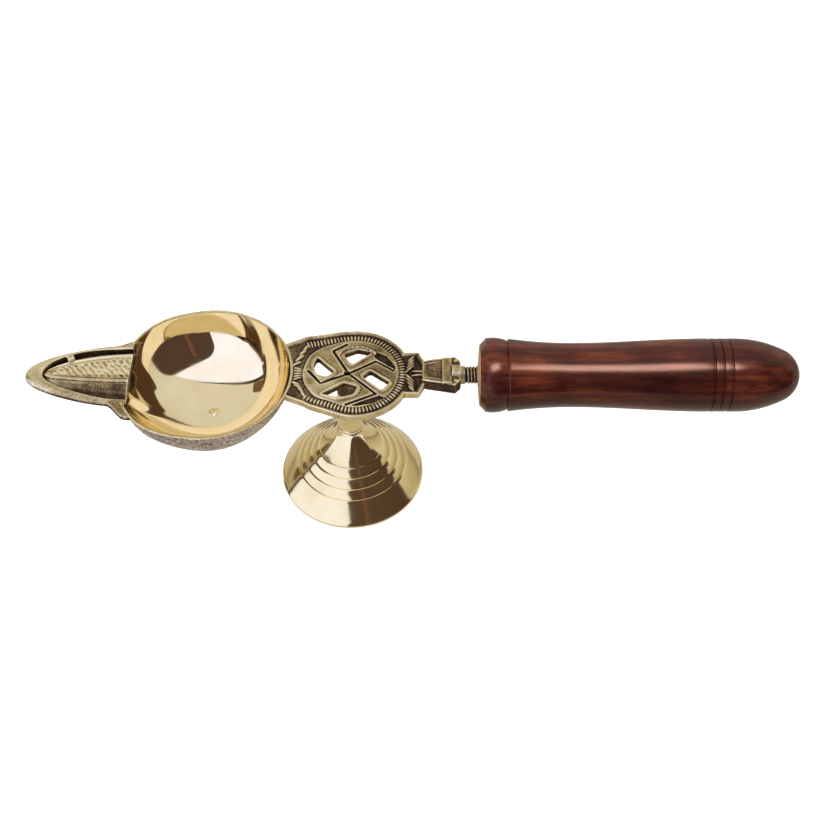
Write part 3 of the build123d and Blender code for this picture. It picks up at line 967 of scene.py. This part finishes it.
def medalGrimeAndPaintedLight(p, n):
    # grime in the sunk ground; painted shadow below the plate, painted shade on the deep walls and a painted
    # highlight on the outer walls at the front; lower left field rubbed; front half of the border lighter,
    # back half darker
    depth = deck - p.z
    # boss and everything below the plate: painted shadow
    if p.z < lamp["plateBottom"] - 0.3:
        return 0.34
    front = ramp(p.y, -2, -9)
    # walls: painted shade deep down, painted highlight on the outer walls at the front
    if n.z < 0.35:
        outside = p.x < -12 or abs(p.y) > 12.8 or hypot(p.x - medal["frontX"], p.y) > 16.8
        paintedSheen = front * ramp(depth, 2.9, 2.2) if outside else 0
        return 0.3 * ramp(depth, 0.5, 1.1) * (1 - paintedSheen) - 0.22 * paintedSheen
    rubbed = ramp(hypot(p.x + 8, p.y + 11), 11, 3)
    right = ramp(p.x, -2, 12) * ramp(p.y, -16, 0)
    border = ramp(depth, 0.25, 0.1)
    grime = 0.27 * ramp(depth, 0.4, 0.85) + 0.1 * right * (1 - border) + 0.12 * border * ramp(p.y, 3, 11)
    return grime - 0.14 * rubbed - 0.28 * border * front - 0.08 * ramp(p.x, -12, -15)


def makeMedallion():
    piece = toObject("medallion", plateBlock())
    cut(piece, fieldBlock(), "UNION")
    rims = bmesh.new()
    piercingBlocks(rims, medal["rimWidth"], deck - 1.5, deck - medal["field"] + medal["rimRise"])
    cut(piece, rims, "UNION", crossing=True)
    cut(piece, signCuts(), crossing=True)
    bm = openMesh(piece)
    layOn(bm)
    closeMesh(piece, bm)
    castSkin(piece, medal["voxel"])
    cut(piece, drillSpace())
    finishCasting(piece, medalGrimeAndPaintedLight)


makeBowl()
makeSpout()
makeTang()
makeMedallion()

# turned foot: hollow cone of rounded bands under a slim neck
foot = {
    "radius": 25.0, "edge": 1.2, "edgeRound": 0.25, "wall": 1.7, "steps": 3, "ledge": 0.5,
    "lowRadius": 18.9, "lowHeight": 8.0, "highRadius": 10.9, "highHeight": 16.1,
    "neckRadius": 3.7, "neckHeight": 32.0, "neckRows": 120, "bulge": 0.15, "turns": 192,
    "scribed": (26.2, 27.5), "scribeDepth": 0.14,
    "collar": (40.6, 41.5), "collarRise": 0.18,
    "boreDepth": 12.6,
}


def bandPoints(start, end, bulge, count):
    # slightly swollen run between two profile points
    along = Vector((end[0] - start[0], end[1] - start[1]))
    out = Vector((-along.y, along.x)).normalized()
    if out.x < 0:
        out = -out
    shares = [number / count for number in range(1, count + 1)]
    return [tuple(Vector(start) + along * t + out * bulge * 4 * t * (1 - t)) for t in shares]


def neckPoints(start):
    # hollow curve from the top band up to the neck, with its scribed lines
    drop = foot["neckHeight"] - start[1]
    swing = start[0] - foot["neckRadius"]
    arcRadius = (swing**2 + drop**2) / (2 * swing)
    points = []
    for number in range(1, foot["neckRows"] + 1):
        height = start[1] + drop * number / foot["neckRows"]
        radius = foot["neckRadius"] + arcRadius - sqrt(arcRadius**2 - (foot["neckHeight"] - height)**2)
        scribe = sum(ramp(abs(height - line), 0.32, 0.1) for line in foot["scribed"])
        points.append((radius - scribe * foot["scribeDepth"], height))
    return points


def makeFoot():
    run = (foot["lowRadius"] - foot["highRadius"]) / foot["steps"]
    rise = (foot["highHeight"] - foot["lowHeight"]) / foot["steps"]
    wall, small, base, neck = foot["wall"], foot["edgeRound"], foot["radius"], foot["neckRadius"]
    last = (base - 0.3, foot["edge"])
    strokes = [
        (0, foot["highHeight"] - wall),
        (foot["highRadius"] - wall, foot["highHeight"] - wall),
        (foot["lowRadius"] - wall, foot["lowHeight"] - wall),
        (base - wall, 0), (base - small, 0), (base, small), (base, foot["edge"] - small),
        last,
    ]
    for step in range(foot["steps"] + 1):
        radius = foot["lowRadius"] - step * run
        height = foot["lowHeight"] + step * rise
        strokes += bandPoints(last, (radius + foot["ledge"], height), foot["bulge"], 8)
        strokes += [(radius + 0.3, height + 0.14), (radius, height)]
        last = (radius, height)
    strokes += neckPoints(last)
    low, high = foot["collar"]
    ring, top, bore = neck + foot["collarRise"], lamp["bossBottom"], lamp["footBore"]
    strokes += [(neck, low), (ring, low + 0.2), (ring, high - 0.2), (neck, high), (neck, top)]
    strokes += [(bore, top), (bore, top - foot["boreDepth"]), (0, top - foot["boreDepth"])]
    bm = bmesh.new()
    turn(bm, strokes, foot["turns"])
    piece = toObject("foot_cone", bm)
    shadeSmooth(piece, 24)
    finishPiece(piece, "foot", "foot", "polished_brass", footPolish)


makeFoot()

# turned wooden handle
handle = {
    "endRadius": 10.2, "endDome": 0.8, "chamfer": 1.8,
    "beadRadius": 12.4, "beadFront": 2.4, "beadBack": 4.2,
    "groove": 0.8, "grooveDepth": 0.7,
    "flare": 12.0, "waist": 10.6, "waistLength": 21.0, "belly": 12.1, "swellLength": 45.0,
    "rings": 3, "ringPitch": 2.9, "ringWidth": 0.8, "ringDepth": 0.45, "bellyRun": 3.0,
    "tipRadius": 9.3, "tipAngle": 25.0, "turns": 128,
    "holeDepth": 26.6,
    "bareRadius": 9.6, "bareDepth": 1.15,    # end face that the lacquer leaves bare
}


def handleStrokes():
    beadX = handle["endDome"] + handle["chamfer"] + handle["beadFront"]
    grooveX = beadX + handle["beadBack"]
    gripX = grooveX + handle["groove"]
    waistX = gripX + handle["waistLength"]
    ringX = waistX + handle["swellLength"]
    bead, belly, hole, end = handle["beadRadius"], handle["belly"], lamp["handleBore"], handle["endRadius"]
    frontRadius = sqrt(bead**2 - handle["beadFront"]**2)
    sweep = degrees(asin(handle["beadFront"] / bead) + asin(handle["beadBack"] / bead))
    strokes = [
        (0, handle["holeDepth"]), (hole, handle["holeDepth"]), (hole, 0.1),
        (end * 0.6, 0.42), (end - 0.2, handle["endDome"] - 0.1), (end, handle["endDome"]),
        (frontRadius - 0.35, beadX - handle["beadFront"] - 0.2),
        (frontRadius, beadX - handle["beadFront"]),
        ("arc", 0, beadX, sweep, 12),
        (handle["flare"] - handle["grooveDepth"], grooveX + handle["groove"] / 2),
        (handle["flare"] - 0.15, gripX),
    ]
    for number in range(16):
        left = 1 - number / 15
        radius = handle["waist"] + (handle["flare"] - handle["waist"]) * left**2
        strokes.append((radius, gripX + 0.3 + (handle["waistLength"] - 0.3) * (1 - left)))
    for number in range(1, 25):
        t = number / 24
        radius = handle["waist"] + (belly - handle["waist"]) * ramp(t, 0, 1)
        strokes.append((radius, waistX + (handle["swellLength"] - handle["ringWidth"]) * t))
    half = handle["ringWidth"] / 2
    for ring in range(handle["rings"]):
        middle = ringX + ring * handle["ringPitch"]
        for offset, depth in ((-half, 0.06), (-0.12, 1), (0.12, 1), (half, 0.06), (half + 0.3, 0)):
            strokes.append((belly - depth * handle["ringDepth"], middle + offset))
    start = ringX + (handle["rings"] - 1) * handle["ringPitch"] + handle["bellyRun"]
    slope = radians(handle["tipAngle"])
    drop = belly - handle["tipRadius"] * cos(slope)
    length = 2 * drop / tan(slope)
    for number in range(13):
        t = number / 12
        strokes.append((belly - drop * t * t, start + length * t))
    centre = start + length - handle["tipRadius"] * sin(slope)
    return strokes + [("arc", 0, centre, 90 - handle["tipAngle"], 16)]


def makeHandle():
    bm = bmesh.new()
    turn(bm, handleStrokes(), handle["turns"], at(lamp["handleX"], 0, lamp["axis"]) @ alongX)
    piece = toObject("handle_grip", bm)
    shadeSmooth(piece, 30)
    finishPiece(piece, "handle", "handle", "lacquered_wood", stainedWood, endGrain)
    for face in piece.data.polygons:
        x, y, z = Vector(face.center) / mm
        bare = x < lamp["handleX"] + handle["bareDepth"] and hypot(y, z - lamp["axis"]) < handle["bareRadius"]
        face.material_index = 1 if bare else 0


makeHandle()

# threaded studs: one helix each, with plain ends
studs = (
    {"name": "stud_handle", "node": "handle_stud", "radius": 3.0, "pitch": 1.0, "depth": 0.55,
     "length": 39.5, "plain": 9.4, "pilotRadius": 1.8, "pilot": 5.4,
     "place": at(lamp["handleX"] - 13.5, 0, lamp["axis"]) @ alongX},
    {"name": "stud_foot", "node": "foot_stud", "radius": 2.0, "pitch": 0.7, "depth": 0.4,
     "length": 18.3, "plain": 1.0, "pilotRadius": 1.55, "pilot": 0.4,
     "place": at(0, 0, lamp["bossBottom"] - 12)},
)


def makeStud(stud):
    steps = 36
    begin, pitch, length, pilot = stud["plain"], stud["pitch"], stud["length"], stud["pilotRadius"]
    root = stud["radius"] - stud["depth"]
    crest, shank, core = stud["radius"] - 0.06, stud["radius"] - 0.05, root + 0.04
    turns = int((length - begin - 1) / pitch)
    bm = bmesh.new()
    profile = pen(bm, (
        (root, begin), (crest, begin + 0.42 * pitch), (crest, begin + 0.58 * pitch), (root, begin + pitch)))
    bmesh.ops.spin(
        bm, geom=profile + edgesOf(profile), cent=(0, 0, 0), axis=(0, 0, 1), angle=2 * pi * turns,
        steps=steps * turns, dvec=(0, 0, pitch * mm / steps))
    bmesh.ops.remove_doubles(bm, verts=bm.verts[:], dist=0.004 * mm)
    bmesh.ops.recalc_face_normals(bm, faces=bm.faces[:])
    for vert in bm.verts:
        vert.tag = True
    # core that closes the helix, and the plain stretch towards the casting
    turn(bm, (
        (0, 0), (pilot, 0), (pilot, stud["pilot"]), (shank, stud["pilot"] + 0.4), (shank, begin),
        (core, begin + 0.3), (core, length - 0.4), (root - 0.4, length), (0, length),
    ), steps)
    bmesh.ops.transform(bm, matrix=stud["place"], verts=bm.verts[:])
    piece = toObject(stud["name"], bm)
    recordWearAndPaintedLight(piece, 3, 2.5)
    shadeSmooth(piece, 50)
    finishPiece(piece, stud["node"], stud["node"], "stud_brass", threadBrass)


for stud in studs:
    makeStud(stud)

# stage, in metres: pale floor and soft lights; the brass mirrors a light tent with a dark seam over the front
# half, a dark board at the front right, two strips and a card below the floor
stage = {
    "floorSize": 6.0, "floorGlow": 0.35, "middle": (0, 0, 0.05),
    "camera": (0.0220, -0.2898, 0.3863), "pitch": 39.3, "lens": 58.3, "sensor": 36,
    "sky": (
        (0.0, "#7a7068"), (0.36, "#7a7068"), (0.44, "#c4bfb0"), (0.5, "#cdc9b8"), (0.67, "#e3e5e8"),
        (1.0, "#e8e9ee")),
    "tentRadius": 1.3, "tentTurn": -6, "tentLow": -20,
}
middle = Vector(stage["middle"])


def makeFloor():
    bm = bmesh.new()
    bmesh.ops.create_circle(bm, cap_ends=True, segments=96, radius=stage["floorSize"] / 2)
    floor = toObject("floor", bm)
    material, tree, shader = newMaterial("paperSweep")
    setInputs(tree, shader, {
        "Base Color": linear("#f4f3f1"), "Roughness": 0.9,
        "Emission Color": linear("#ffffff"), "Emission Strength": stage["floorGlow"],
    })
    floor.data.materials.append(material)
    floor.visible_glossy = False
    floor.visible_diffuse = False


def polar(azimuth, elevation, distance):
    # place seen from the lamp: azimuth 0 is the camera's side, 90 the handle's side
    a, e = radians(azimuth), radians(elevation)
    return Vector((sin(a) * cos(e), -cos(a) * cos(e), sin(e))) * distance + middle


def facing(place):
    return (middle - place).to_track_quat("-Z", "Y")


def addLight(name, place, size, power, glossOn=None):
    # large soft light on wood and floor; what the brass mirrors is the tent and the boards.
    # with glossOn it only puts a highlight on that piece
    data = bpy.data.lights.new(name, "AREA")
    data.shape = "RECTANGLE"
    data.size, data.size_y = size
    data.energy = power
    light = bpy.data.objects.new(name, data)
    light.location = place
    light.rotation_euler = facing(place).to_euler()
    light.visible_camera = False
    light.visible_glossy = glossOn is not None
    if glossOn:
        light.visible_diffuse = False
        receivers = bpy.data.collections.new(name)
        receivers.objects.link(bpy.data.objects[glossOn])
        light.light_linking.receiver_collection = receivers
    scene.collection.objects.link(light)


def hangUp(name, bm, colour, glow):
    # only the mirror brass and the lacquer pick these up
    board = toObject(name, bm)
    material, tree, shader = newMaterial(name)
    setInputs(tree, shader, {
        "Base Color": linear("#0c0a09"), "Roughness": 1,
        "Emission Color": linear(colour), "Emission Strength": glow,
    })
    board.data.materials.append(material)
    board.visible_camera = False
    board.visible_shadow = False
    board.visible_diffuse = False


def addBoard(name, place, size, corner, colour, glow):
    # matt board with round corners that faces the lamp
    bm = bmesh.new()
    lean = facing(place).to_matrix().to_4x4()
    bmesh.ops.create_grid(
        bm, x_segments=1, y_segments=1, size=0.5,
        matrix=Matrix.Translation(place) @ lean @ Matrix.Diagonal((*size, 1, 1)))
    roundOff(bm, bm.verts[:], corner, 8, "VERTICES")
    hangUp(name, bm, colour, glow)


def addFloorCard(name, drop, radius, colour, glow):
    # what the undersides and the foot's flanks mirror
    bm = bmesh.new()
    bmesh.ops.create_circle(
        bm, cap_ends=True, segments=64, radius=radius, matrix=Matrix.Translation((0, 0, -drop)))
    hangUp(name, bm, colour, glow)


def addTent(name, radius, turned, shift, colour, glow):
    # front half of a round tent, open at the back and below
    bm = bmesh.new()
    bmesh.ops.create_uvsphere(
        bm, u_segments=96, v_segments=48, radius=radius, matrix=Matrix.Translation(middle))
    back = Vector((-sin(radians(turned)), cos(radians(turned)), 0))
    low = Vector((0, 0, radius * sin(radians(stage["tentLow"]))))
    for place, outside in ((middle + back * shift, back), (middle + low, Vector((0, 0, -1)))):
        everything = bm.verts[:] + bm.edges[:] + bm.faces[:]
        bmesh.ops.bisect_plane(bm, geom=everything, plane_co=place, plane_no=outside, clear_outer=True)
    hangUp(name, bm, colour, glow)


def makeWorld():
    # soft room light: dimmer near the ground, brighter overhead
    world = bpy.data.worlds.new("studio")
    world.use_nodes = True
    tree = world.node_tree
    place = addNode(tree, "TexCoord", out="Generated")
    upward = addNode(tree, "SeparateXYZ", {0: place}, out="Z")
    height = addNode(tree, "MapRange", {"Value": upward, 1: -1.0, 2: 1.0})
    sky = addNode(tree, "ValToRGB", {"Fac": height}, stops=stage["sky"])
    setInputs(tree, tree.nodes["Background"], {"Color": sky})
    scene.world = world


makeFloor()
makeWorld()
addLight("softboxFront", polar(-53, 36, 0.85), (2.0, 1.23), 7.7)
addLight("softboxBack", polar(165, 62, 1.1), (1.2, 0.5), 4.0)
addLight("softboxHandle", polar(28, 70, 0.8), (0.36, 0.24), 4.6, "handle_grip")
addTent("tentFront", stage["tentRadius"], stage["tentTurn"], 0, "#ccd5ff", 1.85)
addTent("tentSeam", stage["tentRadius"] + 0.06, stage["tentTurn"] - 3, 0.035, "#4a3a30", 0.8)
addBoard("darkBoard", polar(42, 20, 0.7), (1.36, 1.12), 0.34, "#4f3a30", 0.9)
addBoard("redStrip", polar(21, 20, 0.66), (0.06, 0.66), 0.02, "#7c5344", 0.8)
addFloorCard("lowCard", 0.4, 1.6, "#d0cabd", 1.0)
addBoard("darkStripLeft", polar(-108, 14, 0.9), (0.2, 0.7), 0.06, "#7a6448", 0.8)

cameraData = bpy.data.cameras.new("photoCamera")
cameraData.lens = stage["lens"]
cameraData.sensor_width = stage["sensor"]
camera = bpy.data.objects.new("photoCamera", cameraData)
camera.location = stage["camera"]
camera.rotation_euler = (radians(stage["pitch"]), 0, 0)
scene.collection.objects.link(camera)
scene.camera = camera
scene.view_settings.view_transform = "Standard"
print("stage ready")
